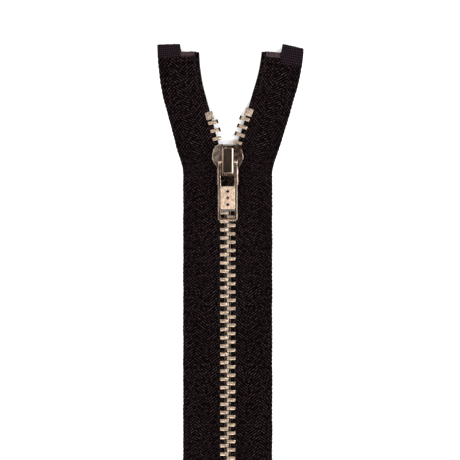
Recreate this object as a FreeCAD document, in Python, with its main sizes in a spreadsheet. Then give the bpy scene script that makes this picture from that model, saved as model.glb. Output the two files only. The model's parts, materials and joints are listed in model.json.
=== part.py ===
import FreeCAD, Part
import Sketcher
import math
import os

V3 = FreeCAD.Vector

doc = FreeCAD.newDocument("Zipper")
sheet = doc.addObject("Spreadsheet::Sheet", "Dims")

# Driving sizes in millimetres and degrees. Y runs up the chain, Z out of the front face.
SIZES = [
    ("chain_mid", 2.4),
    ("cord_x", 2.1),
    ("cord_r", 0.75),
    ("tape_in", 0.8),
    ("tape_out", 15.2),
    ("tape_half", 0.325),
    ("film_core", 0.25),
    ("film_half", 0.35),
    ("valley_in", 5.65),
    ("valley_out", 5.85),
    ("valley_deep", 0.06),
    ("foot_lo", -4.75),
    ("foot_hi", 13.65),
    ("web_lo", 13.95),
    ("foot_film_hi", 9.5),
    ("bend_y", 173.75),
    ("bend_r", 28.5),
    ("bend_deg", 17.0),
    ("left_top", 225.6),
    ("right_top", 226.1),
    ("left_film", 5.1),
    ("right_film", 6.9),
    ("tab_step", 3.1),
    ("left_tab_wide", 8.9),
    ("right_tab_wide", 8.3),
    ("tooth_pitch", 3.2),
    ("tooth_count", 57),
    ("tooth_first", 14.95),
    ("tooth_thick", 1.5),
    ("tooth_half", 1.3),
    ("tooth_nose", 2.6),
    ("tooth_heel", 0.85),
    ("leg_bore", 0.8),
    ("leg_slot", 0.375),
    ("boss_r", 0.45),
    ("boss_v", 0.6),
    ("dimple_r", 0.55),
    ("stop_gap", 2.85),
    ("stop_long", 3.1),
    ("stop_in", 1.9),
    ("stop_out", 1.2),
    ("stop_half", 1.5),
    ("box_half", 4.0),
    ("box_end", 4.75),
    ("box_high", 4.8),
    ("socket_r", 1.12),
    ("socket_lo", -3.7),
    ("side_slot", 0.525),
    ("side_slot_x", 2.2),
    ("pin_r", 1.0),
    ("pin_lo", -3.5),
    ("pin_hi", 13.4),
    ("pin_slit", 0.45),
    ("pin_slit_x", 2.7),
    ("sl_lo", 169.35),
    ("sl_hi", 185.35),
    ("blade", 0.95),
    ("sl_high", 4.8),
    ("lane_high", 2.9),
    ("flange_slot", 1.2),
    ("flange_lo", 1.8),
    ("waist", 4.1),
    ("lane", 3.1),
    ("shoulder", 6.05),
    ("cap_half", 2.3),
    ("cap_in", 1.9),
    ("cap_lo", 172.65),
    ("cap_hi", 185.1),
    ("cap_top", 8.15),
    ("cap_roof", 7.45),
    ("skirt_z", 6.55),
    ("pawl_lo", 174.55),
    ("pawl_hi", 183.3),
    ("pawl_half", 1.5),
    ("pawl_z", 6.5),
    ("pawl_thick", 0.3),
    ("prong_x", 0.95),
    ("prong_wide", 0.8),
    ("prong_long", 0.8),
    ("prong_tip", 3.45),
    ("spring_thick", 0.15),
    ("tab_axis_y", 178.7),
    ("tab_axis_z", 5.75),
    ("tab_bar_r", 0.65),
    ("tab_half", 3.7),
    ("tab_z", 5.2),
    ("tab_thick", 1.1),
    ("panel_up", 0.2),
    ("moat_deep", 0.4),
    ("mark_deep", 0.18),
]

for row, (name, value) in enumerate(SIZES, start=1):
    sheet.set("A%d" % row, name)
    sheet.set("B%d" % row, str(value))
    sheet.setAlias("B%d" % row, name)
doc.recompute()

D = {name: float(sheet.get(name)) for name, value in SIZES}


# ---------------------------------------------------------------- sketch helpers

def new_body(label):
    body = doc.addObject("PartDesign::Body", label)
    body.Label = label
    return body


def origin_plane(body, role):
    for feature in body.Origin.OriginFeatures:
        if feature.Role == role:
            return feature
    raise RuntimeError("no plane " + role)


def number(term):
    """Value of a term: a number, an alias, or an alias with a minus sign."""
    if not isinstance(term, str):
        return float(term)
    if term.startswith("-"):
        return -D[term[1:]]
    return D[term]


def bind(sketch, index, name, term):
    sketch.renameConstraint(index, name)
    if isinstance(term, str):
        sign = "-" if term.startswith("-") else ""
        alias = term.lstrip("-")
        sketch.setExpression("Constraints." + name, sign + "Dims." + alias)


def new_sketch(body, name, role, height=None):
    sketch = body.newObject("Sketcher::SketchObject", name)
    sketch.AttachmentSupport = [(origin_plane(body, role), "")]
    sketch.MapMode = "FlatFace"
    if height is not None:
        sketch.AttachmentOffset = FreeCAD.Placement(V3(0, 0, number(height)), FreeCAD.Rotation())
        if isinstance(height, str):
            sign = "-" if height.startswith("-") else ""
            sketch.setExpression("AttachmentOffset.Base.z", sign + "Dims." + height.lstrip("-"))
    return sketch


def add_loop(sketch, tag, points):
    """Closed polygon whose corners are each placed from the origin."""
    flat = [V3(number(a), number(b), 0) for a, b in points]
    first = sketch.GeometryCount
    count = len(flat)
    for i in range(count):
        sketch.addGeometry(Part.LineSegment(flat[i], flat[(i + 1) % count]), False)
    for i in range(count):
        here = first + i
        after = first + (i + 1) % count
        sketch.addConstraint(Sketcher.Constraint("Coincident", here, 2, after, 1))
    for i, (a, b) in enumerate(points):
        here = first + i
        for kind, term, letter in (("DistanceX", a, "X"), ("DistanceY", b, "Y")):
            if number(term) == 0.0:
                axis = -2 if kind == "DistanceX" else -1
                sketch.addConstraint(Sketcher.Constraint("PointOnObject", here, 1, axis))
                continue
            constraint = Sketcher.Constraint(kind, -1, 1, here, 1, number(term))
            index = sketch.addConstraint(constraint)
            bind(sketch, index, "%s%s%d" % (tag, letter, i), term)


def add_disc(sketch, tag, centre, radius):
    x, y = number(centre[0]), number(centre[1])
    here = sketch.addGeometry(Part.Circle(V3(x, y, 0), V3(0, 0, 1), number(radius)), False)
    index = sketch.addConstraint(Sketcher.Constraint("Radius", here, number(radius)))
    bind(sketch, index, tag + "R", radius)
    for kind, term, letter in (("DistanceX", centre[0], "X"), ("DistanceY", centre[1], "Y")):
        index = sketch.addConstraint(Sketcher.Constraint(kind, -1, 1, here, 3, number(term)))
        bind(sketch, index, tag + letter, term)


def pad(body, sketch, name, length, both=False, flip=False):
    feature = body.newObject("PartDesign::Pad", name)
    feature.Profile = sketch
    feature.Length = number(length)
    if isinstance(length, str):
        feature.setExpression("Length", "Dims." + length)
    if both:
        feature.SideType = "Symmetric"
    feature.Reversed = flip
    body.Tip = feature
    doc.recompute()
    return feature


def pocket(body, sketch, name, length, both=False):
    """Pocket whose direction is settled by what it removes."""
    before = body.Shape.Volume
    feature = body.newObject("PartDesign::Pocket", name)
    feature.Profile = sketch
    feature.Length = number(length)
    if isinstance(length, str):
        feature.setExpression("Length", "Dims." + length)
    if both:
        feature.SideType = "Symmetric"
    body.Tip = feature
    doc.recompute()
    if body.Shape.isNull() or body.Shape.Volume > before - 1e-6:
        feature.Reversed = True
        doc.recompute()
    if body.Shape.Volume > before - 1e-6:
        raise RuntimeError(name + " removes nothing")
    return feature


def fillet(body, name, radius, wanted):
    base = body.Tip
    names = ["Edge%d" % (i + 1) for i, e in enumerate(base.Shape.Edges) if wanted(e)]
    feature = body.newObject("PartDesign::Fillet", name)
    feature.Base = (base, names)
    feature.Radius = radius
    body.Tip = feature
    doc.recompute()
    return feature


def box_loop(x0, y0, x1, y1):
    return [(x0, y0), (x1, y0), (x1, y1), (x0, y1)]


def along(edge, axis):
    """True for a straight edge parallel to the axis."""
    if not isinstance(edge.Curve, (Part.Line, Part.LineSegment)):
        return False
    a, b = edge.Vertexes[0].Point, edge.Vertexes[-1].Point
    return abs((b - a).normalize().dot(axis)) > 0.999


X, Y, Z = V3(1, 0, 0), V3(0, 1, 0), V3(0, 0, 1)


# ---------------------------------------------------------------- tape path

# Each stringer follows the line of its corded edge: straight, out in the slider,
# then leaning outwards and coming back upright at the top. (length | radius, turn)
LEFT_PATH = [
    ("line", D["bend_y"]),
    ("arc", D["bend_r"], D["bend_deg"]),
    ("line", 4.0),
    ("arc", 90.0, -2.0),
    ("line", 17.0),
    ("arc", 62.0, -13.0),
    ("line", 60.0),
]
RIGHT_PATH = [
    ("line", D["bend_y"]),
    ("arc", D["bend_r"], D["bend_deg"]),
    ("arc", 60.0, 3.0),
    ("line", 2.0),
    ("arc", 90.0, -3.5),
    ("line", 17.5),
    ("arc", 62.0, -15.5),
    ("line", 60.0),
]
PATHS = {"left": (-1.0, LEFT_PATH), "right": (1.0, RIGHT_PATH)}


def segment_length(segment):
    if segment[0] == "line":
        return segment[1]
    return segment[1] * math.radians(abs(segment[2]))


def frame_at(side, s):
    """Point on the corded edge, direction up the chain, direction outwards."""
    sign, path = PATHS[side]
    x, y, lean = sign * D["cord_x"], 0.0, 0.0
    left = s
    for segment in path:
        length = segment_length(segment)
        step = min(left, length)
        if segment[0] == "line":
            x += sign * math.sin(lean) * step
            y += math.cos(lean) * step
        else:
            turn = math.copysign(step / segment[1], segment[2])
            radius = math.copysign(segment[1], segment[2])
            x += sign * radius * (math.cos(lean) - math.cos(lean + turn))
            y += radius * (math.sin(lean + turn) - math.sin(lean))
            lean += turn
        left -= step
        if left <= 1e-9 and step < length + 1e-9:
            break
    direction = V3(sign * math.sin(lean), math.cos(lean), 0)
    outward = V3(sign * math.cos(lean), -math.sin(lean), 0)
    return V3(x, y, 0), direction, outward


def spot(side, s, offset, z=0.0):
    point, direction, outward = frame_at(side, s)
    return point + outward * offset + V3(0, 0, z)


def breaks(side, s0, s1):
    """Stretches between s0 and s1 that are each one line or one arc."""
    marks = []
    start = 0.0
    for segment in PATHS[side][1]:
        end = start + segment_length(segment)
        low = max(s0, start) if marks or start > 0 else s0
        high = min(s1, end)
        if high > low + 1e-6:
            marks.append((segment[0], low, high))
        start = end
    return marks


def edge_line(side, offset, s0, s1, z):
    edges = []
    for kind, low, high in breaks(side, s0, s1):
        a, b = spot(side, low, offset, z), spot(side, high, offset, z)
        if kind == "line":
            edges.append(Part.LineSegment(a, b).toShape())
        else:
            middle = spot(side, (low + high) / 2, offset, z)
            edges.append(Part.Arc(a, middle, b).toShape())
    return edges


def ribbon(side, o0, o1, s0, s1, z0, z1):
    """Flat strip that follows the corded edge between two offsets."""
    edges = edge_line(side, o0, s0, s1, z0)
    edges.append(Part.LineSegment(spot(side, s1, o0, z0), spot(side, s1, o1, z0)).toShape())
    edges.extend(reversed(edge_line(side, o1, s0, s1, z0)))
    edges.append(Part.LineSegment(spot(side, s0, o1, z0), spot(side, s0, o0, z0)).toShape())
    wire = Part.Wire(Part.__sortEdges__(edges))
    return Part.Face(wire).extrude(V3(0, 0, z1 - z0))


def placed(side, s, shape):
    """Copy of a local shape (outwards, up the chain, z) set on the corded edge."""
    sign = PATHS[side][0]
    p, d, n = frame_at(side, s)
    matrix = FreeCAD.Matrix(
        n.x, d.x, 0, p.x,
        n.y, d.y, 0, p.y,
        0, 0, sign, D["chain_mid"],
        0, 0, 0, 1,
    )
    copy = shape.copy()
    copy.Placement = FreeCAD.Placement(matrix)
    return copy


def prism(points, z0, z1):
    vectors = [V3(a, b, z0) for a, b in points]
    wire = Part.makePolygon(vectors + [vectors[0]])
    return Part.Face(wire).extrude(V3(0, 0, z1 - z0))


def feature(label, shape):
    item = doc.addObject("Part::Feature", label)
    item.Label = label
    item.Shape = shape
    return item


# ---------------------------------------------------------------- tapes, cords, films

MID = D["chain_mid"]


def notch(side, top, tab_wide, slope):
    """Step cut out of the inner corner of a tape top, and the cut end of the tab."""
    corner = D["tape_out"] - tab_wide
    step = D["tab_step"]
    r = 1.0
    points = [(-2.0, 4.0), (-2.0, -step), (corner - r, -step)]
    for k in range(1, 6):
        angle = math.radians(90.0 * k / 6)
        points.append((corner - r + r * math.sin(angle), -step + r - r * math.cos(angle)))
    points += [(corner, -step + r), (corner, 0.0), (D["tape_out"] + 1.0, -slope), (D["tape_out"] + 1.0, 4.0)]
    return placed(side, top, prism(points, -2.0, 2.0))


def tape(side, top, film, tab_wide, slope):
    half = D["tape_half"]
    core = D["film_core"]
    lo, hi = D["web_lo"], top + 1.5
    film_start = top - film
    web = ribbon(side, D["tape_in"], D["tape_out"], lo, hi, MID - half, MID + half)
    for z0, z1 in ((MID + core, MID + 1.0), (MID - 1.0, MID - core)):
        web = web.cut(ribbon(side, 0.0, D["tape_out"] + 1.0, film_start, hi + 1.0, z0, z1))
    deep = D["valley_deep"]
    for z0, z1 in ((MID + half - deep, MID + 1.0), (MID - 1.0, MID - half + deep)):
        web = web.cut(ribbon(side, D["valley_in"], D["valley_out"], lo - 1, film_start, z0, z1))
    web = web.cut(notch(side, top, tab_wide, slope))
    feature(side + "_tape", web)
    inner = D["tape_in"] + 0.1
    for name, z0, z1 in (("front", MID + core, MID + D["film_half"]),
                         ("back", MID - D["film_half"], MID - core)):
        skin = ribbon(side, inner, D["tape_out"], film_start + 0.02, hi, z0, z1)
        skin = skin.cut(notch(side, top, tab_wide, slope))
        feature("%s_top_film_%s" % (side, name), skin)


def foot(side):
    half = D["tape_half"]
    core = D["film_core"]
    lo, hi = D["foot_lo"], D["foot_hi"]
    film_end = D["foot_film_hi"]
    web = ribbon(side, D["tape_in"], D["tape_out"], lo, hi, MID - half, MID + half)
    for z0, z1 in ((MID + core, MID + 1.0), (MID - 1.0, MID - core)):
        web = web.cut(ribbon(side, 0.0, D["tape_out"] + 1.0, lo - 1.0, film_end, z0, z1))
    feature(side + "_tape_foot", web)
    for name, z0, z1 in (("front", MID + core, MID + D["film_half"]),
                         ("back", MID - D["film_half"], MID - core)):
        skin = ribbon(side, D["tape_in"] + 0.1, D["tape_out"], lo, film_end - 0.02, z0, z1)
        feature("%s_foot_film_%s" % (side, name), skin)


def cord(side, top):
    lo = D["web_lo"]
    path = Part.Wire(Part.__sortEdges__(edge_line(side, 0.0, lo, top - D["tab_step"] - 0.2, MID)))
    circle = Part.Wire(Part.Circle(spot(side, lo, 0.0, MID), Y, D["cord_r"]).toShape())
    feature(side + "_cord", path.makePipeShell([circle], True, False))


def tooth_shape():
    """One clamped tooth: legs outwards, rounded nose inwards, boss above, dimple below."""
    half_v = D["tooth_thick"] / 2
    top = D["tooth_half"]
    nose, heel = -D["tooth_nose"], D["tooth_heel"]
    plan = [
        (heel, -half_v), (heel, half_v), (nose + 0.8, half_v), (nose + 0.2, half_v - 0.22),
        (nose, half_v - 0.45), (nose, 0.45 - half_v), (nose + 0.2, 0.22 - half_v), (nose + 0.8, -half_v),
    ]
    body = prism(plan, -top, top)
    side_view = [
        (heel, -top + 0.25), (heel - 0.3, -top), (nose + 0.7, -top), (nose, -top + 0.4),
        (nose, top - 0.4), (nose + 0.7, top), (heel - 0.3, top), (heel, top - 0.25),
    ]
    profile = Part.makePolygon([V3(a, -2, b) for a, b in side_view + side_view[:1]])
    body = body.common(Part.Face(profile).extrude(V3(0, 4, 0)))
    bore = Part.makeCylinder(D["leg_bore"], 4, V3(0, -2, 0), Y)
    slot = Part.makeBox(2, 4, 2 * D["leg_slot"], V3(0, -2, -D["leg_slot"]))
    body = body.cut(bore.fuse(slot))
    boss = Part.makeSphere(D["boss_r"], V3(-D["cord_x"], D["boss_v"], 0))
    dimple = Part.makeSphere(D["dimple_r"], V3(-D["cord_x"], D["boss_v"] - D["tooth_pitch"] / 2, 0))
    return body.fuse(boss).cut(dimple).removeSplitter()


def stop_shape():
    """Square clamp over the corded edge that ends the row."""
    half = D["stop_half"]
    block = Part.makeBox(
        D["stop_in"] + D["stop_out"], D["stop_long"], 2 * half,
        V3(-D["stop_in"], -D["stop_long"] / 2, -half),
    )
    block = block.makeFillet(0.35, [e for e in block.Edges if along(e, Z) or along(e, Y)])
    bore = Part.makeCylinder(D["leg_bore"], 6, V3(0, -3, 0), Y)
    slot = Part.makeBox(3, 6, 2 * D["leg_slot"], V3(0, -3, -D["leg_slot"]))
    return block.cut(bore.fuse(slot))


TOOTH = tooth_shape()
STOP = stop_shape()
COUNT = int(D["tooth_count"])


def row(side, first):
    teeth = [placed(side, first + k * D["tooth_pitch"], TOOTH) for k in range(COUNT)]
    feature(side + "_teeth", Part.makeCompound(teeth))
    last = first + (COUNT - 1) * D["tooth_pitch"]
    feature(side + "_top_stop", placed(side, last + D["stop_gap"], STOP))


tape("left", D["left_top"], D["left_film"], D["left_tab_wide"], 0.0)
tape("right", D["right_top"], D["right_film"], D["right_tab_wide"], 1.3)
for hand in ("left", "right"):
    foot(hand)
cord("left", D["left_top"])
cord("right", D["right_top"])
row("left", D["tooth_first"])
row("right", D["tooth_first"] + D["tooth_pitch"] / 2)


# ---------------------------------------------------------------- retainer box and pins

box = new_body("retainer_box")
outline = new_sketch(box, "BoxOutline", "XY_Plane")
add_loop(outline, "o", box_loop("-box_half", "-box_end", "box_half", "box_end"))
pad(box, outline, "BoxPad", "box_high")
sockets = new_sketch(box, "Sockets", "XZ_Plane", "-box_end")
add_disc(sockets, "a", ("-cord_x", "chain_mid"), "socket_r")
add_disc(sockets, "b", ("cord_x", "chain_mid"), "socket_r")
pocket(box, sockets, "SocketPocket", D["box_end"] - D["socket_lo"])
for tag, sign in (("L", "-"), ("R", "")):
    slit = new_sketch(box, "TapeSlot" + tag, "XZ_Plane")
    edge = [(sign + "side_slot_x", MID - D["side_slot"]), (sign + "tape_out", MID - D["side_slot"]),
            (sign + "tape_out", MID + D["side_slot"]), (sign + "side_slot_x", MID + D["side_slot"])]
    add_loop(slit, "o", edge)
    pocket(box, slit, "TapeSlotCut" + tag, 2 * D["box_end"] + 2, both=True)
panel = new_sketch(box, "FrontPanel", "XY_Plane", "box_high")
add_loop(panel, "o", box_loop(-2.6, -3.3, 2.6, 3.3))
pocket(box, panel, "FrontPanelCut", 0.2)
fillet(box, "BoxCorners", 0.7, lambda e: along(e, Z) and e.BoundBox.ZMin < 0.01
       and abs(e.BoundBox.XMin) > 3.9)


def pin(label, sign):
    body = new_body(label)
    profile = new_sketch(body, label + "_round", "XZ_Plane", "-pin_hi")
    add_disc(profile, "c", (sign + "cord_x", "chain_mid"), "pin_r")
    rod = pad(body, profile, label + "_rod", D["pin_hi"] - D["pin_lo"])
    if body.Shape.BoundBox.YMax > D["pin_hi"] + 0.1:
        rod.Reversed = True
        doc.recompute()
    slit = new_sketch(body, label + "_slit", "XZ_Plane")
    lo, hi = MID - D["pin_slit"], MID + D["pin_slit"]
    add_loop(slit, "o", [(sign + "pin_slit_x", lo), (sign + "box_half", lo),
                         (sign + "box_half", hi), (sign + "pin_slit_x", hi)])
    pocket(body, slit, label + "_slit_cut", 40.0, both=True)


pin("box_pin", "-")
pin("insert_pin", "")


# ---------------------------------------------------------------- slider

SLIDER_HALF = [
    (3.35, "sl_lo"), ("waist", 169.9), ("waist", 176.1), (5.5, 178.3), ("shoulder", 179.6),
    ("shoulder", 181.4), (5.5, 183.4), (4.4, 184.9), (3.5, "sl_hi"),
]
POST_HALF = [(0.3, 181.3), (0.58, 182.3), (1.2, 185.35), (1.2, 188.0)]
LANE_HALF = [("lane", 165.0), ("lane", 173.6), (3.4, 176.5), (4.2, 180.6), (5.55, 185.35), (5.55, 187.0)]


def negative(term):
    if isinstance(term, str):
        return "-" + term
    return -term


def mirrored(half, tip=None):
    points = list(half)
    points += [(negative(a), b) for a, b in reversed(half)]
    if tip is not None:
        points = [(0, tip)] + points
    return points


slider = new_body("slider_body")
outline = new_sketch(slider, "SliderOutline", "XY_Plane")
add_loop(outline, "o", mirrored(SLIDER_HALF))
pad(slider, outline, "SliderPad", "sl_high")
lane = new_sketch(slider, "Lane", "XY_Plane", D["blade"] + D["lane_high"])
add_loop(lane, "o", mirrored(LANE_HALF))
add_loop(lane, "p", mirrored(POST_HALF, 180.5))
pocket(slider, lane, "LaneCut", "lane_high")
gap = new_sketch(slider, "TapeGap", "XY_Plane", D["flange_lo"] + D["flange_slot"])
add_loop(gap, "o", box_loop(-8, 165, 8, 187))
add_loop(gap, "p", mirrored(POST_HALF, 180.5))
pocket(slider, gap, "TapeGapCut", "flange_slot")
hatch = new_sketch(slider, "PawlWindow", "XY_Plane", "sl_high")
add_loop(hatch, "o", box_loop(0.75, 174.3, 1.95, 175.6))
pocket(slider, hatch, "PawlWindowCut", "blade")


def blade_rim(edge):
    """Outer rim of the front blade, all the way round."""
    box_ = edge.BoundBox
    if abs(box_.ZMin - D["sl_high"]) > 0.01 or abs(box_.ZMax - D["sl_high"]) > 0.01:
        return False
    middle = edge.CenterOfMass
    return not (0.5 < middle.x < 2.2 and 174.0 < middle.y < 176.0)


fillet(slider, "BladeRim", 0.35, blade_rim)

cap = new_body("slider_cap")
arch = new_sketch(cap, "CapArch", "YZ_Plane")
add_loop(arch, "o", [
    ("cap_lo", "sl_high"), ("cap_lo", 6.4), (173.1, 7.5), (174.2, "cap_top"), (183.6, "cap_top"),
    (184.7, 7.6), ("cap_hi", 6.6), ("cap_hi", "sl_high"),
])
pad(cap, arch, "CapPad", 2 * D["cap_half"], both=True)
fillet(cap, "CapRounding", 0.7, lambda e: e.BoundBox.ZMin > D["sl_high"] + 0.01
       and not along(e, X))
tunnel = new_sketch(cap, "Tunnel", "YZ_Plane")
add_loop(tunnel, "o", [(173.9, 4.0), (183.9, 4.0), (183.9, "skirt_z"), (173.9, "skirt_z")])
pocket(cap, tunnel, "TunnelCut", 6.0, both=True)
cavity = new_sketch(cap, "Cavity", "YZ_Plane")
add_loop(cavity, "o", [(173.9, 6.0), (183.9, 6.0), (183.9, "skirt_z"), (183.3, "cap_roof"),
                       (174.5, "cap_roof"), (173.9, "skirt_z")])
pocket(cap, cavity, "CavityCut", 2 * D["cap_in"], both=True)

pawl = new_body("lock_pawl")
strip = new_sketch(pawl, "PawlStrip", "XY_Plane", "pawl_z")
add_loop(strip, "o", box_loop("-pawl_half", "pawl_lo", 1.75, "pawl_hi"))
pad(pawl, strip, "PawlStripPad", "pawl_thick")
prong = new_sketch(pawl, "Prong", "XY_Plane", "prong_tip")
add_loop(prong, "o", box_loop("prong_x", "pawl_lo", 1.75, 175.35))
pad(pawl, prong, "ProngPad", D["pawl_z"] + D["pawl_thick"] - D["prong_tip"])

spring = new_body("lock_spring")
leaf = new_sketch(spring, "Leaf", "YZ_Plane")
low, high = D["pawl_z"] + D["pawl_thick"] + 0.03, D["cap_roof"] - 0.03
thick = D["spring_thick"]
add_loop(leaf, "o", [
    (175.2, low), (176.4, low), (178.2, high - thick), (179.8, high - thick), (181.6, low), (182.6, low),
    (182.6, low + thick), (181.7, low + thick), (179.9, high), (178.1, high), (176.3, low + thick),
    (175.2, low + thick),
])
pad(spring, leaf, "LeafPad", 2.0, both=True)


# ---------------------------------------------------------------- pull tab

tab = new_body("pull_tab")
plate = new_sketch(tab, "TabPlate", "XY_Plane", "tab_z")
add_loop(plate, "o", [
    ("-tab_half", "tab_axis_y"), ("-tab_half", 156.6), (-3.0, 155.9), (3.0, 155.9), ("tab_half", 156.6),
    ("tab_half", "tab_axis_y"), (2.7, "tab_axis_y"), (2.7, 169.6), (2.2, 169.1), (-2.2, 169.1),
    (-2.7, 169.6), (-2.7, "tab_axis_y"),
])
add_loop(plate, "w", [(-2.7, 157.2), (-2.4, 156.9), (2.4, 156.9), (2.7, 157.2),
                      (2.7, 159.7), (-2.7, 159.7)])
pad(tab, plate, "TabPad", "tab_thick")
bar = new_sketch(tab, "Bar", "YZ_Plane")
add_disc(bar, "c", ("tab_axis_y", "tab_axis_z"), "tab_bar_r")
pad(tab, bar, "BarPad", 2 * D["tab_half"], both=True)
ledge = new_sketch(tab, "Ledge", "XY_Plane", D["tab_z"] + D["tab_thick"])
add_loop(ledge, "o", box_loop(-2.75, 159.0, 2.75, 160.45))
pocket(tab, ledge, "LedgeCut", 0.45)
panel = new_sketch(tab, "Panel", "XY_Plane", D["tab_z"] + D["tab_thick"] - 0.1)
add_loop(panel, "o", [(-2.75, 160.7), (-2.5, 160.45), (2.5, 160.45), (2.75, 160.7),
                      (2.75, 168.7), (2.5, 168.95), (-2.5, 168.95), (-2.75, 168.7)])
pad(tab, panel, "PanelPad", D["panel_up"] + 0.1)
for tag, sign in (("L", "-"), ("R", "")):
    moat = new_sketch(tab, "Moat" + tag, "XY_Plane", D["tab_z"] + D["tab_thick"])
    inner, outer = 2.8, 3.12
    if sign:
        inner, outer = -outer, -inner
    add_loop(moat, "o", box_loop(inner, 160.9, outer, 168.5))
    pocket(tab, moat, "MoatCut" + tag, "moat_deep")
marks = new_sketch(tab, "Marks", "XY_Plane", D["tab_z"] + D["tab_thick"] + D["panel_up"])
for k in range(3):
    middle = 162.15 + 2.55 * k
    add_loop(marks, "m%d" % k, [(0, middle - 0.85), (0.9, middle), (0, middle + 0.85), (-0.9, middle)])
pocket(tab, marks, "MarksCut", "mark_deep")


# ---------------------------------------------------------------- checks and export

doc.recompute()
NODES = [
    "left_tape", "right_tape", "left_tape_foot", "right_tape_foot", "left_cord", "right_cord",
    "left_teeth", "right_teeth", "left_top_stop", "right_top_stop",
    "left_top_film_front", "left_top_film_back", "right_top_film_front", "right_top_film_back",
    "left_foot_film_front", "left_foot_film_back", "right_foot_film_front", "right_foot_film_back",
    "retainer_box", "box_pin", "insert_pin", "slider_body", "slider_cap", "lock_pawl", "lock_spring",
    "pull_tab",
]
for item in doc.Objects:
    if "Invalid" in item.State or "Error" in item.State:
        raise RuntimeError("%s: %s" % (item.Name, item.State))
os.makedirs("parts", exist_ok=True)
for label in NODES:
    found = [item for item in doc.Objects if item.Label == label]
    if len(found) != 1:
        raise RuntimeError("label " + label)
    shape = found[0].Shape
    if shape.isNull() or not shape.isValid() or not shape.Solids:
        raise RuntimeError("bad shape " + label)
    shape.exportStep("parts/%s.step" % label)
    bounds = shape.BoundBox
    print("%-24s solids %3d vol %9.2f  x %.2f..%.2f y %.2f..%.2f z %.2f..%.2f" % (
        label, len(shape.Solids), shape.Volume, bounds.XMin, bounds.XMax,
        bounds.YMin, bounds.YMax, bounds.ZMin, bounds.ZMax))
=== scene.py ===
import json
import math

import bpy
import numpy as np
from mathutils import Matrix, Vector


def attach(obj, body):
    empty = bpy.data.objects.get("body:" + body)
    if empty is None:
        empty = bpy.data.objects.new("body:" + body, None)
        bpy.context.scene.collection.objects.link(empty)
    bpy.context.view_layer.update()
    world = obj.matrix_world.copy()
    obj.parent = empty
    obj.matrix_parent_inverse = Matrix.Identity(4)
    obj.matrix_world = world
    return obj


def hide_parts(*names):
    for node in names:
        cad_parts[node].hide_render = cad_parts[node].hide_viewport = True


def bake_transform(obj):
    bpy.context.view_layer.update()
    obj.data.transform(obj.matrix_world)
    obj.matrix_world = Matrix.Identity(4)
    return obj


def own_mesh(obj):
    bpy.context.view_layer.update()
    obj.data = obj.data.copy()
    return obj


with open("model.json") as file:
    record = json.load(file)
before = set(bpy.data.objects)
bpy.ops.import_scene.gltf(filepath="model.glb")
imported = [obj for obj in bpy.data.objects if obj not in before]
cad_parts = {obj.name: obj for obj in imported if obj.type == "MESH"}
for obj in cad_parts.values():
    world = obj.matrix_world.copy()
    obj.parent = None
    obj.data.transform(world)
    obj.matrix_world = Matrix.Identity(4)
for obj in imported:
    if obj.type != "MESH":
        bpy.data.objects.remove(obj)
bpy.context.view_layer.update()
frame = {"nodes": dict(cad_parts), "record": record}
NODES = frame["nodes"]
MM = 0.001

# ------------------------------------------------------------------ tape path, as in the CAD

# Millimetres, as in the CAD. "Out" is measured from the middle of the corded edge towards the
# selvedge, and heights along a tape follow the corded edge's own curved route.
CHAIN_MID = 2.4          # height of the chain's middle plane above the ground
CORD_X = 2.1             # middle of the corded edge, from the centre line
TAPE_OUT = 15.2          # selvedge
CLOTH_IN = 0.25          # where the flat cloth starts beside the corded edge
FILM_IN = 0.95           # where the film starts
CORD_LO = 13.95          # lower end of the modelled corded edge
FOOT_LO = -4.75          # cut foot of the tape
FOOT_FILM_TOP = 9.48
FOOT_PRESSED = 9.5       # the cloth is pressed flat under the foot film up to here
RIPPLE_FROM = 20.0       # below this the cloth lies quite flat
PITCH = 3.2
TEETH = 57
STOP_GAP = 2.85          # from the last tooth to the top stop
FIRST = {"left": 14.95, "right": 16.55}   # lowest tooth
TOP = {"left": 225.6, "right": 226.1}     # highest point of the cut top
FILM = {"left": 5.1, "right": 6.9}        # height of the film at the top
TAB_WIDE = {"left": 8.9, "right": 8.3}    # width of the higher, outer part of the notched top
SLOPE = {"left": 0.0, "right": 1.3}       # how far that part falls off towards the selvedge
STEP = 3.1                                # depth of the notch
SEED = {"left": 11, "right": 23}

# Weave: herringbone columns, ribs along them and the yarn floats that cross the ribs.
COLUMN = 4.8
RIB_PITCH = 1.10
RIB_SLOPE = 0.78
FLOAT_PITCH = 1.15
FLOAT_LEAN = 1.9         # radians per millimetre along the tape
STITCH_PITCH = 1.15      # stitches of the seam beside the corded edge
STITCH_OUT = 0.75

# Route of each corded edge, upwards from the origin: its side, then its legs. A leg is
# (length, 0) when straight and (radius, degrees) when it turns, outwards when positive.
BEND_Y = 173.75
BEND_R = 28.5
PATHS = {
    "left": (-1.0, [(BEND_Y, 0), (BEND_R, 17.0), (4.0, 0), (90.0, -2.0), (17.0, 0),
                    (62.0, -13.0), (60.0, 0)]),
    "right": (1.0, [(BEND_Y, 0), (BEND_R, 17.0), (60.0, 3.0), (2.0, 0), (90.0, -3.5), (17.5, 0),
                    (62.0, -15.5), (60.0, 0)]),
}


def path_frame(side, s):
    """Point on the corded edge (mm), lean in radians, at arc length s."""
    sign, path = PATHS[side]
    x, y, lean = sign * CORD_X, 0.0, 0.0
    if s < 0:
        return x, s, 0.0
    left = s
    for first, turn in path:
        length = first if turn == 0 else first * math.radians(abs(turn))
        step = min(left, length)
        if turn == 0:
            x += sign * math.sin(lean) * step
            y += math.cos(lean) * step
        else:
            angle = math.copysign(step / first, turn)
            radius = math.copysign(first, turn)
            x += sign * radius * (math.cos(lean) - math.cos(lean + angle))
            y += radius * (math.sin(lean + angle) - math.sin(lean))
            lean += angle
        left -= step
        if left <= 1e-9:
            break
    return x, y, lean


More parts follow.
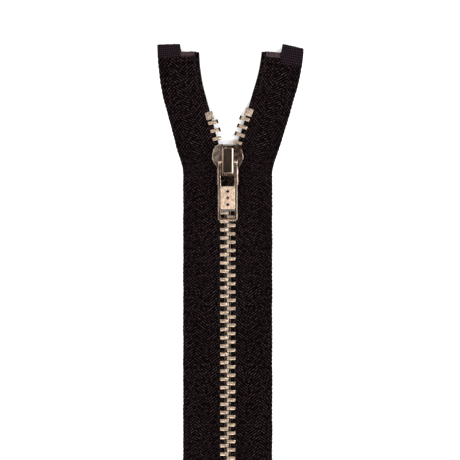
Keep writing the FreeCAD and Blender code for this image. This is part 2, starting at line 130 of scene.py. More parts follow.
class Route:
    """Fast lookup of a stringer's path for whole arrays of points."""

    def __init__(self, side):
        self.sign = PATHS[side][0]
        self.s = np.arange(-8.0, 240.0, 0.05)
        table = np.array([path_frame(side, s) for s in self.s])
        self.x, self.y, self.lean = table[:, 0], table[:, 1], table[:, 2]

    def place(self, s, off, z):
        """Arrays in path coordinates (mm) to row coordinates (m)."""
        x = np.interp(s, self.s, self.x)
        y = np.interp(s, self.s, self.y)
        lean = np.interp(s, self.s, self.lean)
        px = x + self.sign * np.cos(lean) * off
        py = y - np.sin(lean) * off
        return np.stack([px, py, z + CHAIN_MID], axis=-1) * MM


ROUTE = {side: Route(side) for side in PATHS}


def mesh_object(name, co, faces, smooth=True, uv=None):
    mesh = bpy.data.meshes.new(name)
    mesh.from_pydata([tuple(c) for c in co], [], [tuple(f) for f in faces])
    mesh.update()
    if uv is not None:
        layer = mesh.uv_layers.new(name="Cloth")
        index = np.zeros(len(mesh.loops), np.int32)
        mesh.loops.foreach_get("vertex_index", index)
        layer.data.foreach_set("uv", np.asarray(uv, np.float32)[index].ravel())
    if smooth:
        mesh.polygons.foreach_set("use_smooth", [True] * len(mesh.polygons))
    obj = bpy.data.objects.new(name, mesh)
    bpy.context.scene.collection.objects.link(obj)
    return obj


def noise1(x, seed):
    """Smooth repeatable noise of a running coordinate."""
    rng = np.random.RandomState(seed)
    total = np.zeros_like(x, dtype=float)
    for k in range(6):
        f = 0.35 * (1.7 ** k)
        total += rng.uniform(-1, 1) * np.sin(f * x + rng.uniform(0, 6.28)) / (1 + 0.5 * k)
    return total / 2.0


# ------------------------------------------------------------------ materials

class Nodes:
    """A new material's shader tree, with short calls that add its nodes."""

    def __init__(self, name):
        self.mat = bpy.data.materials.new(name)
        self.mat.use_nodes = True
        self.tree = self.mat.node_tree
        self.shader = self.tree.nodes["Principled BSDF"]

    def add(self, kind, **values):
        node = self.tree.nodes.new(kind)
        for key, value in values.items():
            setattr(node, key, value)
        return node

    def link(self, a, b):
        self.tree.links.new(a, b)

    def put(self, socket, value):
        if isinstance(value, (int, float, tuple)):
            socket.default_value = value
        else:
            self.link(value, socket)

    def math(self, op, a, b=0.0, c=0.0, clamp=False):
        node = self.add("ShaderNodeMath", operation=op, use_clamp=clamp)
        for socket, value in zip(node.inputs, (a, b, c)):
            self.put(socket, value)
        return node.outputs[0]

    def mix(self, factor, a, b):
        node = self.add("ShaderNodeMix", data_type="RGBA")
        self.put(node.inputs["Factor"], factor)
        self.put(node.inputs[6], a)
        self.put(node.inputs[7], b)
        return node.outputs[2]

    def noise(self, vector, scale, detail=2.0, rough=0.5):
        node = self.add("ShaderNodeTexNoise")
        node.inputs["Scale"].default_value = scale
        node.inputs["Detail"].default_value = detail
        node.inputs["Roughness"].default_value = rough
        self.link(vector, node.inputs["Vector"])
        return node.outputs["Fac"]

    def ramp(self, value, lo, hi, a=0.0, b=1.0):
        node = self.add("ShaderNodeMapRange", clamp=True)
        self.put(node.inputs[0], value)
        for i, v in enumerate((lo, hi, a, b), start=1):
            node.inputs[i].default_value = v
        return node.outputs[0]

    def bump(self, height, strength, distance, normal=None):
        node = self.add("ShaderNodeBump")
        node.inputs["Strength"].default_value = strength
        node.inputs["Distance"].default_value = distance
        self.link(height, node.inputs["Height"])
        if normal is not None:
            self.link(normal, node.inputs["Normal"])
        return node.outputs["Normal"]

    def axes(self, vector):
        node = self.add("ShaderNodeSeparateXYZ")
        self.link(vector, node.inputs[0])
        return node.outputs

    def scaled(self, vector, xyz):
        node = self.add("ShaderNodeMapping")
        node.inputs["Scale"].default_value = xyz
        self.link(vector, node.inputs["Vector"])
        return node.outputs["Vector"]


def rgb(r, g, b):
    return (r, g, b, 1.0)


def weave_nodes(m):
    """Herringbone ribs and floats, each 0..1. The UV map holds millimetres: in from the selvedge,
    then along the tape."""
    uv = m.add("ShaderNodeUVMap", uv_map="Cloth").outputs[0]
    u, v = m.axes(uv)[:2]
    zig = m.math("PINGPONG", u, COLUMN)
    wobble = m.noise(m.scaled(uv, (0.25, 0.25, 1.0)), 1.0, 2.0)
    slanted = m.math("MULTIPLY_ADD", zig, -RIB_SLOPE, v)
    drifted = m.math("MULTIPLY_ADD", wobble, 0.30, slanted)
    wave = m.math("SINE", m.math("MULTIPLY", drifted, 2 * math.pi / RIB_PITCH))
    rib = m.math("MULTIPLY_ADD", wave, 0.5, 0.5)
    crossing = m.math("ADD", m.math("MULTIPLY", u, 2 * math.pi / FLOAT_PITCH),
                      m.math("MULTIPLY", v, FLOAT_LEAN))
    floats = m.math("MULTIPLY_ADD", m.math("SINE", crossing), 0.5, 0.5)
    return uv, u, v, rib, floats


def cloth_material(name):
    """Black herringbone twill with the yarn floats catching the light."""
    m = Nodes(name)
    uv, u, v, rib, floats = weave_nodes(m)
    dash = m.math("MULTIPLY", m.math("POWER", rib, 2.6), m.math("MULTIPLY_ADD", floats, 0.80, 0.30))
    fuzz = m.noise(m.scaled(uv, (1.05, 0.85, 1.0)), 1.0, 4.0, 0.75)
    patch = m.noise(m.scaled(uv, (0.12, 0.05, 1.0)), 1.0, 3.0)
    lit = m.math("MULTIPLY", dash, m.ramp(fuzz, 0.45, 0.60, 0.05, 1.6), clamp=True)
    seam = m.ramp(m.math("ABSOLUTE", m.math("SUBTRACT", u, TAPE_OUT - STITCH_OUT)), 0.42, 0.12)
    stitch = m.math("SINE", m.math("MULTIPLY", v, 2 * math.pi / STITCH_PITCH))
    lit = m.math("MAXIMUM", lit, m.math("MULTIPLY", seam, m.ramp(stitch, -0.1, 0.6, 0.04, 0.45)))
    dark = m.mix(m.ramp(patch, 0.35, 0.65), rgb(0.0006, 0.0002, 0.0002), rgb(0.0011, 0.0004, 0.0005))
    bright = m.mix(m.ramp(patch, 0.35, 0.65), rgb(0.045, 0.029, 0.031), rgb(0.030, 0.019, 0.021))
    m.link(m.mix(lit, dark, bright), m.shader.inputs["Base Color"])
    m.shader.inputs["Roughness"].default_value = 0.9
    m.shader.inputs["Specular IOR Level"].default_value = 0.01
    height = m.math("ADD", dash, m.math("MULTIPLY", fuzz, 0.5))
    m.link(m.bump(height, 0.8, 0.00012), m.shader.inputs["Normal"])
    return m.mat


# Film: pitches of the two diagonals of the weave that shows through, and where a pale highlight is
# painted at the inner cut (in from the selvedge, up the tape).
FILM_PITCHES = (1.55, 1.35)
CUT_HIGHLIGHT_U = (8.7, 9.3)
CUT_HIGHLIGHT_V = (220.4, 221.4)


def film_material(name):
    """Thin plastic ironed over the weave: a fine twill shows through, with a painted pale highlight at
    the inner cut.
    """
    m = Nodes(name)
    uv = m.add("ShaderNodeUVMap", uv_map="Cloth").outputs[0]
    u, v = m.axes(uv)[:2]
    rising = m.math("MULTIPLY", m.math("ADD", u, v), 2 * math.pi / FILM_PITCHES[0])
    falling = m.math("MULTIPLY", m.math("SUBTRACT", u, m.math("MULTIPLY", v, 0.8)),
                     2 * math.pi / FILM_PITCHES[1])
    crossed = m.math("MULTIPLY", m.math("SINE", rising), m.math("SINE", falling))
    grain = m.math("MULTIPLY_ADD", crossed, 0.5, 0.5)
    scuff = m.noise(m.scaled(uv, (1.6, 2.2, 1.0)), 1.0, 4.0, 0.65)
    lit = m.math("MULTIPLY", m.math("POWER", grain, 2.4), m.ramp(scuff, 0.35, 0.6, 0.2, 1.0))
    base = m.mix(lit, rgb(0.0012, 0.0006, 0.0011), rgb(0.044, 0.026, 0.033))
    # Painted highlight along the inner cut.
    step_band = m.math("MULTIPLY", m.ramp(u, *CUT_HIGHLIGHT_U), m.ramp(v, *CUT_HIGHLIGHT_V))
    cut_highlight = m.math("MULTIPLY", step_band, m.ramp(scuff, 0.36, 0.66))
    m.link(m.mix(cut_highlight, base, rgb(0.075, 0.048, 0.048)), m.shader.inputs["Base Color"])
    m.link(m.ramp(scuff, 0.3, 0.8, 0.6, 0.8), m.shader.inputs["Roughness"])
    m.shader.inputs["Specular IOR Level"].default_value = 0.02
    m.link(m.bump(grain, 0.6, 0.00008), m.shader.inputs["Normal"])
    return m.mat


def darker(colour, share):
    return tuple(share * c for c in colour[:3]) + (1.0,)


def inside(m, value, low, high, soft):
    """Mask of low..high (mm) along one coordinate, fading over soft mm at each border."""
    up = m.ramp(value, low * MM, (low + soft) * MM)
    down = m.ramp(value, high * MM, (high - soft) * MM)
    return m.math("MULTIPLY", up, down)


# Painted light on the slider's left shoulder, lighter as if lit from the left: it fades in between
# these x and these y.
LIT_SHOULDER_X = (-2.2, -3.0)
LIT_SHOULDER_Y = (177.6, 179.2)


def metal_material(name, dark, base, edge_shading, rough, edge_wide, streak=(1.0, 1.0, 1.0), spots=900.0,
                   low_shade=None, raised=None, shaded=None, grooves=(), lit_shoulder=None):
    """Plated metal: smudges between two tones, fine brushing and rougher rounded edges. The edge
    colour paints highlights on the edges (painted shade on the cap), edge_wide metres wide; the masks
    are in mm:

    low_shade: (low, high), painted shade on faces that look up: none above high, full below low
    raised: (low, high, colour), the part above high is polished and painted lighter, as lit, in this
    colour
    shaded: (half x, low y, high y, top z), a painted shade inside this box
    grooves: (inner x, outer x, low y, high y, z) for each, painted shade above z on both sides
    lit_shoulder: colour of the painted light on the slider's left shoulder
    """
    m = Nodes(name)
    coords = m.add("ShaderNodeTexCoord").outputs["Object"]
    x, y, z = m.axes(coords)
    across = m.math("ABSOLUTE", x)
    drift = m.noise(m.scaled(coords, streak), spots, 3.0, 0.62)
    fine = m.noise(m.scaled(coords, streak), 3400.0, 3.0, 0.7)
    geometry = m.add("ShaderNodeNewGeometry")
    rounded = m.add("ShaderNodeBevel", samples=4)
    rounded.inputs["Radius"].default_value = edge_wide
    turned = m.add("ShaderNodeVectorMath", operation="DOT_PRODUCT")
    m.link(rounded.outputs[0], turned.inputs[0])
    m.link(geometry.outputs["Normal"], turned.inputs[1])
    edge = m.ramp(turned.outputs["Value"], 0.985, 0.90)
    tone = m.mix(m.ramp(drift, 0.38, 0.62), dark, base)
    # Upper faces: polish plus painted light, lighter than the lower parts.
    if raised is not None:
        low, high, face = raised
        level = m.ramp(z, low * MM, high * MM)
        light = m.mix(m.ramp(drift, 0.40, 0.60), darker(face, 0.58), face)
        tone = m.mix(level, tone, light)
    # Painted shade on faces that look up low down: the teeth's nibs and lower parts, the tab's moat.
    if low_shade is not None:
        low, high = low_shade
        looks_up = m.axes(geometry.outputs["Normal"])[2]
        sunk = m.math("MULTIPLY", m.ramp(z, high * MM, low * MM), m.ramp(looks_up, 0.4, 0.7))
        tone = m.mix(m.math("MULTIPLY", sunk, 0.92), tone, darker(dark, 0.12))
    # Painted shade inside the box: on the slider under the pull tab, on the cap's top rim, in the tab's
    # engraved marks.
    if shaded is not None:
        half_x, low_y, high_y, top_z = shaded
        box = m.math("MULTIPLY", m.ramp(across, half_x * MM, (half_x - 0.2) * MM),
                     inside(m, y, low_y, high_y, 0.2))
        box = m.math("MULTIPLY", box, m.ramp(z, top_z * MM, (top_z - 0.04) * MM))
        box_shade = m.math("MULTIPLY", box, m.ramp(drift, 0.62, 0.54, 0.15, 0.93))
        tone = m.mix(box_shade, tone, darker(dark, 0.10))
    # Painted light on the slider's left shoulder.
    if lit_shoulder is not None:
        patch = m.math("MULTIPLY", m.ramp(x, LIT_SHOULDER_X[0] * MM, LIT_SHOULDER_X[1] * MM),
                       m.ramp(y, LIT_SHOULDER_Y[0] * MM, LIT_SHOULDER_Y[1] * MM))
        shoulder_light = m.math("MULTIPLY", patch, m.ramp(drift, 0.36, 0.62, 0.35, 0.95))
        tone = m.mix(shoulder_light, tone, lit_shoulder)
    # Painted highlights on the rounded edges; on the cap the edge colour is darker and paints shade
    # along its rims.
    tone = m.mix(m.math("MULTIPLY", edge, 0.85), tone, edge_shading)
    # Painted shade in the tab's grooves beside its panel and rails.
    for inner, outer, low_y, high_y, above in grooves:
        band = inside(m, across, inner - 0.05, outer + 0.05, 0.1)
        band = m.math("MULTIPLY", band, inside(m, y, low_y, high_y, 0.1))
        band = m.math("MULTIPLY", band, m.ramp(z, above * MM, (above + 0.1) * MM))
        tone = m.mix(m.math("MULTIPLY", band, 0.9), tone, darker(dark, 0.10))
    m.link(tone, m.shader.inputs["Base Color"])
    m.shader.inputs["Metallic"].default_value = 1.0
    grain = m.ramp(fine, 0.2, 0.8, rough * 0.7, rough * 1.35)
    m.link(m.math("MAXIMUM", grain, m.math("MULTIPLY", edge, 0.5)), m.shader.inputs["Roughness"])
    m.link(m.bump(fine, 0.10, 0.00002, rounded.outputs[0]), m.shader.inputs["Normal"])
    return m.mat


MAT = {
    "tape": cloth_material("tape_herringbone"),
    "cord": cloth_material("corded_edge_weave"),
    "film": film_material("end_film"),
    # Teeth: painted shade low down and on the nibs, tops polished and painted lighter, painted
    # highlights on the edges.
    "teeth": metal_material("tooth_plating", rgb(0.08, 0.045, 0.028), rgb(0.26, 0.18, 0.12),
                            rgb(0.55, 0.45, 0.36), 0.36, 0.00006, spots=1500.0,
                            low_shade=(3.04, 3.32), raised=(3.05, 3.38, rgb(0.50, 0.375, 0.275))),
    "stops": metal_material("stop_plating", rgb(0.15, 0.11, 0.085), rgb(0.46, 0.37, 0.29),
                            rgb(0.84, 0.74, 0.60), 0.42, 0.00010, spots=1700.0),
    # Slider: painted shade under the pull tab, painted light on its left shoulder, painted highlights
    # on its edges.
    "slider": metal_material("slider_plating", rgb(0.015, 0.008, 0.005), rgb(0.22, 0.150, 0.110),
                             rgb(1.0, 0.90, 0.76), 0.24, 0.00036, spots=620.0,
                             shaded=(2.75, 169.2, 173.4, 9.0), lit_shoulder=rgb(0.42, 0.33, 0.26)),
    # Cap: painted shade on its top rim; its darker edge colour paints shade along its rims.
    "cap": metal_material("cap_plating", rgb(0.10, 0.064, 0.045), rgb(0.38, 0.28, 0.21),
                          rgb(0.15, 0.11, 0.08), 0.11, 0.00012, (1.0, 0.035, 1.0), spots=1600.0,
                          shaded=(2.6, 183.7, 185.6, 9.0)),
    # Tab: painted shade in its moat, engraved marks and grooves; its panel face polished and painted
    # lighter; painted highlights on its edges.
    "tab": metal_material("tab_plating", rgb(0.11, 0.068, 0.045), rgb(0.38, 0.255, 0.18),
                          rgb(1.0, 0.90, 0.80), 0.36, 0.00026, (1.0, 0.6, 1.0), spots=1500.0,
                          low_shade=(6.18, 6.24), raised=(6.42, 6.46, rgb(0.80, 0.580, 0.425)),
                          shaded=(1.3, 160.9, 168.6, 6.42),
                          grooves=[(2.72, 3.22, 160.2, 169.2, 5.9), (-0.1, 2.9, 160.05, 160.5, 5.9),
                                   (2.95, 3.38, 169.1, 177.4, 5.9), (2.72, 3.22, 156.5, 160.2, 5.9),
                                   (-0.1, 3.1, 156.5, 156.95, 5.9)]),
    "spring_steel": metal_material("spring_steel", rgb(0.10, 0.08, 0.06), rgb(0.40, 0.33, 0.27),
                                   rgb(0.8, 0.72, 0.6), 0.25, 0.00012, (0.1, 1.0, 1.0)),
    "box": metal_material("box_plating", rgb(0.25, 0.185, 0.132), rgb(0.42, 0.32, 0.24),
                          rgb(0.64, 0.53, 0.42), 0.34, 0.00020, spots=700.0),
}


def paint(obj, slot_name):
    obj.data.materials.clear()
    obj.data.materials.append(MAT[slot_name])


# ------------------------------------------------------------------ tape cloth

def top_edge(side, off):
    """Height of the cut top at each distance out: notch, slant and frayed cut."""
    top, seed = TOP[side], SEED[side]
    cut = TAPE_OUT - TAB_WIDE[side]
    ragged = 0.13 * noise1(off * 6.0, seed) + 0.08 * noise1(off * 17.0, seed + 1)
    corner = np.clip((off - (cut - 0.7)) / 0.7, 0, 1)
    edge = (top - STEP) + STEP * corner ** 3
    return edge - SLOPE[side] * np.clip((off - cut) / TAB_WIDE[side], 0, 1) + ragged


def film_edge(side, off):
    """Lower edge of the film at the top end; the right one is higher beside the chain."""
    cut = TAPE_OUT - TAB_WIDE[side]
    low = TOP[side] - FILM[side]
    if side == "right":
        low = low + 1.8 * np.clip((cut - off) / 1.0 + 0.5, 0, 1)
    return low + 0.10 * noise1(off * 3.0, SEED[side] + 7)


def sheet_faces(n_u, n_v, flip):
    """Faces of a closed two-sided grid: front grid, back grid, rim."""
    total = n_u * n_v
    j, i = np.meshgrid(np.arange(n_v - 1), np.arange(n_u - 1), indexing="ij")
    a = (j * n_u + i).ravel()
    quads = np.stack([a, a + 1, a + 1 + n_u, a + n_u], axis=1)
    back = quads[:, ::-1] + total
    if not flip:
        quads, back = quads[:, ::-1], back[:, ::-1]
    rim = [k * n_u for k in range(n_v)] + [(n_v - 1) * n_u + k for k in range(1, n_u)]
    rim += [k * n_u + n_u - 1 for k in range(n_v - 2, -1, -1)] + [k for k in range(n_u - 2, 0, -1)]
    rim = np.array(rim)
    nxt = np.roll(rim, -1)
    side = np.stack([rim, nxt, nxt + total, rim + total], axis=1)
    if not flip:
        side = side[:, ::-1]
    return np.concatenate([quads, back, side]).tolist()


def ripple_at(side, s, off):
    """Slight lengthwise waviness of the flat cloth, none near the chain or low down."""
    away = np.clip((off - 4.0) / 6.0, 0, 1)
    return 0.07 * noise1(s * 0.30 + off * 0.10, SEED[side] + 3) * away * (s > RIPPLE_FROM)


TAIL = 12.0              # this far down from the top the rows follow the cut


def tape_piece(side):
    """One tape from foot to notched top: both woven faces, scalloped selvedge, column crowns."""
    top = TOP[side]
    start = top - TAIL
    n_u = 64
    rows = np.concatenate([np.linspace(FOOT_LO, start, 900, endpoint=False),
                           np.linspace(start, top, 48)])
    n_v = len(rows)
    grid_u, grid_v = np.meshgrid(np.linspace(CLOTH_IN, TAPE_OUT, n_u), rows)
    across = TAPE_OUT - grid_u
    share = np.clip((grid_v - start) / TAIL, 0, 1)
    s = np.where(share > 0, start + share * (top_edge(side, grid_u) - start), grid_v)
    scallop = 0.15 * np.abs(np.sin(s * math.pi / 1.6)) + 0.12 * noise1(s, SEED[side] + 2)
    off = grid_u - np.clip(1 - across / 1.2, 0, 1) * scallop
    crown = 0.040 * np.abs(np.sin(np.pi * across / COLUMN))
    in_film = (s > film_edge(side, grid_u)) | (s < FOOT_PRESSED)
    zig = COLUMN - np.abs(COLUMN - np.mod(across, 2 * COLUMN))
    rib = 0.022 * np.sin((s - RIB_SLOPE * zig) * 2 * math.pi / RIB_PITCH)
    half = np.where(in_film, 0.25, 0.28 + crown + rib)
    half = half * (0.35 + 0.65 * np.clip(across / 0.35, 0.0, 1.0) ** 0.5)
    lift = ripple_at(side, s, grid_u)
    route = ROUTE[side]
    front = route.place(s, off, lift + half).reshape(-1, 3)
    back = route.place(s, off, lift - half).reshape(-1, 3)
    uv_one = np.stack([across.ravel(), s.ravel()], axis=-1)
    obj = mesh_object(side + "_tape_cloth", np.concatenate([front, back]),
                      sheet_faces(n_u, n_v, route.sign > 0), uv=np.concatenate([uv_one, uv_one]))
    paint(obj, "tape")
    return obj


def film_piece(side, face, end):
    """A film layer ironed on one face at one end of a tape."""
    n_u, n_v = 60, 26
    grid_u, share = np.meshgrid(np.linspace(FILM_IN, TAPE_OUT - 0.02, n_u), np.linspace(0, 1, n_v))
    if end == "top":
        low, high = film_edge(side, grid_u), top_edge(side, grid_u)
    else:
        low = np.full_like(grid_u, FOOT_LO)
        high = FOOT_FILM_TOP + 0.05 * noise1(grid_u * 3.0, SEED[side] + 9)
    s = low + share * (high - low)
    lift = ripple_at(side, s, grid_u)
    grain = 0.012 * np.sin(grid_u * 6.1 + s * 5.3) * np.sin(grid_u * 5.2 - s * 6.7)
    outer = lift + face * (0.335 + grain)
    inner = lift + face * 0.255
    route = ROUTE[side]
    front = route.place(s, grid_u, outer if face > 0 else inner).reshape(-1, 3)
    back = route.place(s, grid_u, inner if face > 0 else outer).reshape(-1, 3)
    uv_one = np.stack([(TAPE_OUT - grid_u).ravel(), s.ravel()], axis=-1)
    word = "front" if face > 0 else "back"
    obj = mesh_object("%s_%s_film_skin_%s" % (side, end, word), np.concatenate([front, back]),
                      sheet_faces(n_u, n_v, route.sign > 0), uv=np.concatenate([uv_one, uv_one]))
    paint(obj, "film")
    return obj


def tube_faces(n_rings, n):
    """Faces of a closed tube of rings with n points each: its walls, then both ends."""
    faces = []
    for j in range(n_rings - 1):
        for i in range(n):
            a, b = j * n + i, j * n + (i + 1) % n
            faces.append([a, b, b + n, a + n])
    faces.append(list(range(n))[::-1])
    faces.append([(n_rings - 1) * n + i for i in range(n)])
    return faces


CORD_RADIUS = 0.725
# The dark cord cover is widened towards the chain so it fills the gap between the rows: a dark sheet
# standing in for shade.
CORD_SHADE_BULGE = 1.34        # how many times wider it is towards the chain


def cord_piece(side):
    """Round corded edge with the twill of its woven cover in relief."""
    n_r = 18
    low, high = CORD_LO, TOP[side] - STEP - 0.15
    rows = np.arange(low, high, 0.30)
    turn = np.arange(n_r) * 2 * math.pi / n_r
    grid_t, s = np.meshgrid(turn, rows)
    rib = 0.018 * np.sin(2 * math.pi * s / 0.8 + 2 * grid_t)
    radius = CORD_RADIUS + rib
    # Widened towards the chain: dark cloth standing in for the shade between the rows.
    inward = np.where(np.cos(grid_t) < 0, CORD_SHADE_BULGE, 1.0)
    off = radius * inward * np.cos(grid_t)
    co = ROUTE[side].place(s, off, radius * np.sin(grid_t)).reshape(-1, 3)
    faces = tube_faces(len(rows), n_r)
    if ROUTE[side].sign < 0:
        faces = [f[::-1] for f in faces]
    uv = np.stack([TAPE_OUT + grid_t.ravel() * 0.72, s.ravel()], axis=-1)
    obj = mesh_object(side + "_corded_edge", co, faces, uv=uv)
    paint(obj, "cord")
    return obj


# ------------------------------------------------------------------ teeth and stops

# Sections of a tooth from its legs on the tape to its nib: place out from the corded edge, half
# thickness along the chain, half height, and how far its middle is shifted up the chain.
TOOTH_SECTIONS = [
    (0.85, 0.56, 1.10, 0.0), (0.81, 0.61, 1.20, 0.0), (0.66, 0.65, 1.28, 0.0), (0.30, 0.66, 1.30, 0.0),
    (-0.95, 0.66, 1.30, 0.0), (-1.16, 0.66, 1.28, 0.0), (-1.30, 0.65, 1.16, 0.0),
    (-1.45, 0.65, 1.06, 0.0), (-1.90, 0.65, 1.02, 0.0), (-2.24, 0.66, 0.98, 0.0),
    (-2.44, 0.72, 0.84, 0.0), (-2.53, 0.79, 0.64, 0.0), (-2.60, 0.80, 0.52, 0.0),
    (-3.06, 0.80, 0.46, 0.0), (-3.14, 0.76, 0.40, 0.0), (-3.17, 0.68, 0.32, 0.0),
]
# The same tooth without its nib, for the few beside the slider at either end of its travel.
SHORT_SECTIONS = TOOTH_SECTIONS[:10] + [
    (-2.44, 0.61, 0.88, 0.02), (-2.55, 0.46, 0.70, 0.03), (-2.59, 0.26, 0.44, 0.04),
]
SLIDER_ZONES = [(10.0, 21.5), (171.5, 188.0)]
STOP_SECTIONS = [
    (1.20, 1.25, 1.20, 0.0), (1.14, 1.42, 1.38, 0.0), (0.95, 1.52, 1.48, 0.0),
    (0.60, 1.55, 1.50, 0.0), (-1.30, 1.55, 1.50, 0.0), (-1.65, 1.52, 1.48, 0.0),
    (-1.84, 1.42, 1.38, 0.0), (-1.90, 1.25, 1.20, 0.0),
]


def rounded_section(half_v, half_z, corner):
    """Outline of a rounded rectangle in the plane across the tooth."""
    r = min(corner, 0.9 * half_v, 0.9 * half_z)
    points = []
    for quadrant, (sv, sz) in enumerate(((1, 1), (-1, 1), (-1, -1), (1, -1))):
        for k in range(4):
            angle = math.radians(90 * quadrant + 30 * k)
            points.append((sv * (half_v - r) + r * math.cos(angle),
                           sz * (half_z - r) + r * math.sin(angle)))
    return points


def lofted(sections, corner):
    """Vertices (outwards, up the chain, z) and faces of a loft through the sections."""
    rings = [[(u, cv + v, z) for v, z in rounded_section(hv, hz, corner)] for u, hv, hz, cv in sections]
    return np.array([p for ring in rings for p in ring]), tube_faces(len(rings), len(rings[0]))


def clamp_row(name, side, places, sections, corner, seed, short=None):
    """Every tooth of a row, each a hair different in seat and turn as clamped teeth are. The ones
    beside the slider take the short sections."""
    full = lofted(sections, corner)
    cut = lofted(short, corner) if short else full
    sign = ROUTE[side].sign
    rng = np.random.RandomState(seed)
    all_co, all_faces = [], []
    for place in places:
        base, faces = cut if any(low < place < high for low, high in SLIDER_ZONES) else full
        x, y, lean = path_frame(side, place)
        turn = lean + math.radians(rng.uniform(-1.1, 1.1))
        du, dv = rng.uniform(-0.03, 0.03), rng.uniform(-0.03, 0.03)
        u, v, z = base[:, 0] + du, base[:, 1] + dv, base[:, 2] + rng.uniform(-0.02, 0.02)
        px = x + sign * (np.cos(turn) * u + np.sin(turn) * v)
        py = y - np.sin(turn) * u + np.cos(turn) * v
        start = sum(len(c) for c in all_co)
        all_co.append(np.stack([px, py, z + CHAIN_MID], axis=-1) * MM)
        for face in faces:
            shifted = [q + start for q in face]
            all_faces.append(shifted if sign < 0 else shifted[::-1])
    return mesh_object(name, np.concatenate(all_co), all_faces)


TOOTH_CORNER, STOP_CORNER = 0.19, 0.3
SHARP = math.radians(24)


def bends(obj):
    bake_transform(obj)


for side in ("left", "right"):
    cloth = tape_piece(side)
    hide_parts(side + "_tape", side + "_tape_foot")
    for end in ("top", "foot"):
        for face, word in ((1, "front"), (-1, "back")):
            film = film_piece(side, face, end)
            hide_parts("%s_%s_film_%s" % (side, end, word))
            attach(film, side + "_stringer" if end == "top" else "box_end")
    bends(cloth)
    cord = cord_piece(side)
    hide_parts(side + "_cord")
    bends(cord)
    places = [FIRST[side] + PITCH * k for k in range(TEETH)]
    teeth = clamp_row(side + "_tooth_row", side, places, TOOTH_SECTIONS, TOOTH_CORNER,
                      SEED[side] + 40, SHORT_SECTIONS)
    paint(teeth, "teeth")
    teeth.data.set_sharp_from_angle(angle=SHARP)
    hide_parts(side + "_teeth")
    bends(teeth)
    stop = clamp_row(side + "_stop_clamp", side, [places[-1] + STOP_GAP], STOP_SECTIONS,
                     STOP_CORNER, SEED[side] + 50)
    paint(stop, "stops")
    stop.data.set_sharp_from_angle(angle=SHARP)
    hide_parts(side + "_top_stop")
    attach(stop, side + "_stringer")


# ------------------------------------------------------------------ lock spring

SPRING_LOW, SPRING_HIGH, SPRING_THICK = 6.83, 7.42, 0.2
SPRING_HALF = 1.0        # half its width
SPRING_ENDS = (175.2, 182.6)
SPRING_FEET = (176.4, 181.6)   # the leaf rises between its feet, over SPRING_RISE
SPRING_RISE = 1.8


def spring_piece():
    """Bowed leaf over the pawl: flat feet, a raised middle, rounded rims."""
    y = np.linspace(*SPRING_ENDS, 56)
    rise = SPRING_HIGH - SPRING_THICK - SPRING_LOW
    low, high = SPRING_FEET
    bow = np.clip(np.minimum((y - low) / SPRING_RISE, (high - y) / SPRING_RISE), 0, 1)
    lower = SPRING_LOW + rise * bow * bow * (3 - 2 * bow)
    ring = [(-1.0, 0.25), (-0.94, 0.0), (0.94, 0.0), (1.0, 0.25),
            (1.0, 0.75), (0.94, 1.0), (-0.94, 1.0), (-1.0, 0.75)]
    co = [(x * SPRING_HALF * MM, yy * MM, (zz + h * SPRING_THICK) * MM)
          for yy, zz in zip(y, lower) for x, h in ring]
    return mesh_object("lock_leaf", co, [face[::-1] for face in tube_faces(len(y), len(ring))])


leaf = spring_piece()
leaf.data.set_sharp_from_angle(angle=math.radians(30))
paint(leaf, "spring_steel")
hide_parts("lock_spring")
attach(leaf, "slider")
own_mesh(leaf)


# ------------------------------------------------------------------ carried-over CAD nodes

SLOT_OF = {entry["node"]: entry["material_slot"] for entry in frame["record"]["subparts"]}
for node_name, node in NODES.items():
    if not node.hide_render:
        paint(node, SLOT_OF[node_name])

# ------------------------------------------------------------------ stage, light, camera

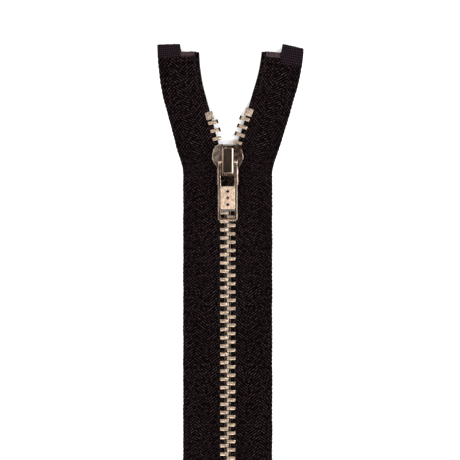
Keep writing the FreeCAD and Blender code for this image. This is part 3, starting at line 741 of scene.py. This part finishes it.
floor = mesh_object("floor", [(-3, -3, 0), (3, -3, 0), (3, 3, 0), (-3, 3, 0)], [(0, 1, 2, 3)],
                    smooth=False)
plain = Nodes("floor_paper")
plain.shader.inputs["Base Color"].default_value = rgb(0.93, 0.93, 0.93)
plain.shader.inputs["Roughness"].default_value = 0.9
plain.shader.inputs["Specular IOR Level"].default_value = 0.1
plain.shader.inputs["Emission Color"].default_value = rgb(1.0, 1.0, 1.0)
plain.shader.inputs["Emission Strength"].default_value = 0.22
floor.data.materials.append(plain.mat)

world = bpy.data.worlds.new("studio")
bpy.context.scene.world = world
world.use_nodes = True
world.node_tree.nodes["Background"].inputs["Color"].default_value = rgb(1.0, 1.0, 1.0)
world.node_tree.nodes["Background"].inputs["Strength"].default_value = 0.13
bpy.context.scene.view_settings.view_transform = "Standard"


def area_light(name, place, target, size, power):
    data = bpy.data.lights.new(name, "AREA")
    data.shape = "RECTANGLE"
    data.size, data.size_y = size
    data.energy = power
    obj = bpy.data.objects.new(name, data)
    obj.location = place
    obj.rotation_mode = "QUATERNION"
    obj.rotation_quaternion = (Vector(target) - Vector(place)).to_track_quat("-Z", "Y")
    bpy.context.scene.collection.objects.link(obj)


# Middle of the pictured part of the zipper, at the height of the chain.
MIDDLE = Vector((0.00089, 0.1524, 0.0024))
area_light("key", MIDDLE + Vector((-0.65, 0.30, 0.85)), MIDDLE, (1.30, 1.30), 9.0)
area_light("strip", MIDDLE + Vector((0.45, 0.03, 0.47)), MIDDLE, (0.14, 0.70), 4.0)
area_light("back", MIDDLE + Vector((0.10, 1.00, 0.80)), MIDDLE, (1.20, 0.60), 1.6)
sun = bpy.data.lights.new("front", "SUN")
sun.energy, sun.angle = 2.8, math.radians(32)
front = bpy.data.objects.new("front", sun)
front.rotation_mode = "QUATERNION"
front.rotation_quaternion = Vector((0.08, 0.62, -0.75)).to_track_quat("-Z", "Y")
bpy.context.scene.collection.objects.link(front)

FRAME_MM = 177.4         # width seen at the height of the chain
SENSOR_MM, LENS_MM = 36.0, 135.0
camera = bpy.data.cameras.new("camera")
camera.sensor_width = SENSOR_MM
camera.lens = LENS_MM
distance = FRAME_MM * MM / 2 / math.tan(math.atan(SENSOR_MM / 2 / LENS_MM))
camera.clip_start, camera.clip_end = 0.05, 10.0
eye = bpy.data.objects.new("camera", camera)
eye.location = (MIDDLE.x, MIDDLE.y, MIDDLE.z + distance)
bpy.context.scene.collection.objects.link(eye)
bpy.context.scene.camera = eye
